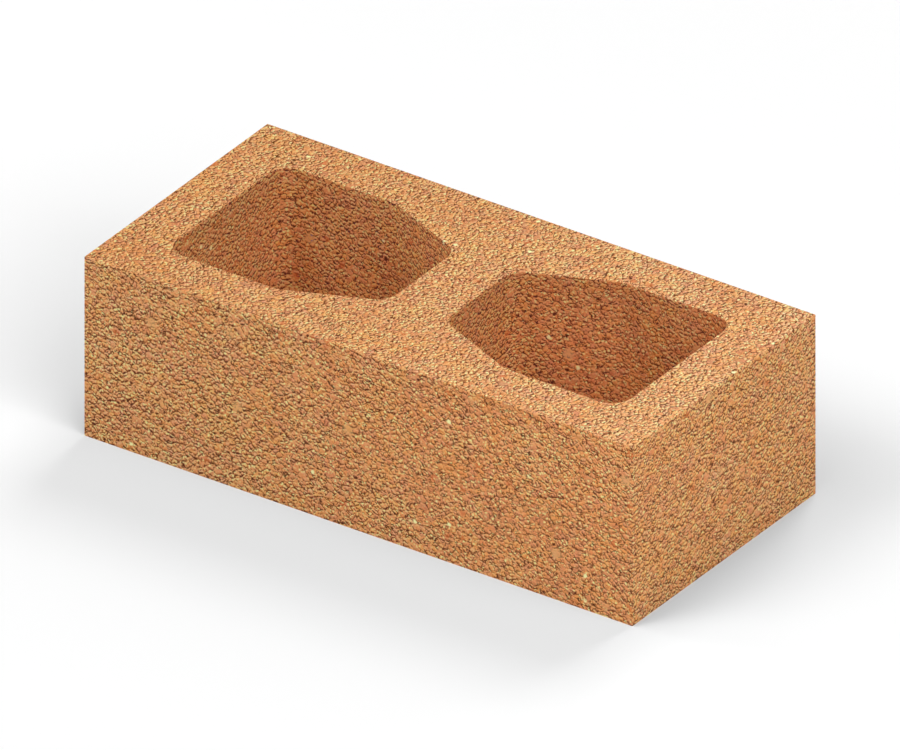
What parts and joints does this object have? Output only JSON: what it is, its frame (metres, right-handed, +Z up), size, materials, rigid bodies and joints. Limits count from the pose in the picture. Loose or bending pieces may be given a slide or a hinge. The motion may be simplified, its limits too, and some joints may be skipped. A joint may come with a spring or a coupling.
{
  "type": "hollow clay brick",
  "caption": "Rectangular fired clay brick with a pair of upright through cells that narrow towards a thick centre web; filleted cell corners and crisp arrises.",
  "frame": {"origin": "middle of the lower bed face, which is the middle of the centre web's underside", "axes": "+X along the brick's length, +Y through the wall that it builds, +Z up, along the cells"},
  "size_m": [0.29, 0.14, 0.09],
  "materials": {
    "fired_clay": "unglazed, open and granular, orange-brown with buff, rust and dark specks"
  },
  "bodies": {
    "root": {"hollow_brick": "fired_clay"}
  },
  "joints": []
}
